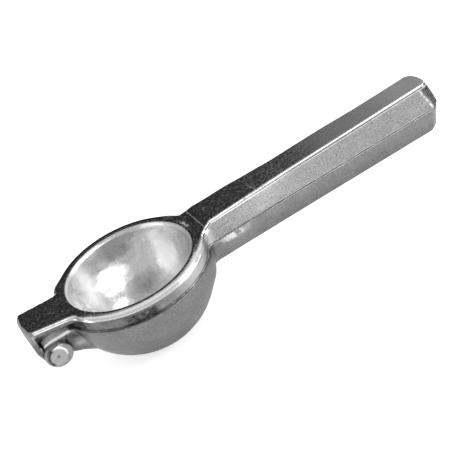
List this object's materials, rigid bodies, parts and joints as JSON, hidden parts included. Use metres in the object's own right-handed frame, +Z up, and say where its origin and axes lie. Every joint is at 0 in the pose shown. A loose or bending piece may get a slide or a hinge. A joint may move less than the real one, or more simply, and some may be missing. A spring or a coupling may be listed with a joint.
{
  "type": "lemon squeezer",
  "caption": "Hinged hand press for half a lemon in cast aluminium: a hollow plunger cup closes into a deep drained bowl on a riveted hinge.",
  "frame": {"origin": "centre of the closed squeezer's bounding box, at the level of the bowl's foot", "axes": "+X along the handle away from the hinge, +Z up out of the cup's mouth, -Y towards the rivet's domed head"},
  "size_m": [0.225, 0.0768, 0.0452],
  "materials": {
    "polished_cast_aluminium": "polished top, satin flanks",
    "matte_cast_aluminium": "fine matte casting",
    "rivet_steel": "turned, bright"
  },
  "bodies": {
    "lower_arm": {"bowl_arm": "matte_cast_aluminium", "hinge_pin": "rivet_steel"},
    "upper_arm": {"press_arm": "polished_cast_aluminium"}
  },
  "joints": [
    {"name": "press_hinge", "type": "hinge", "parent": "lower_arm", "child": "upper_arm", "pos_m": [-0.10445, 0, 0.02848], "axis": [0, -1, 0], "range_deg": [0, 125]}
  ]
}
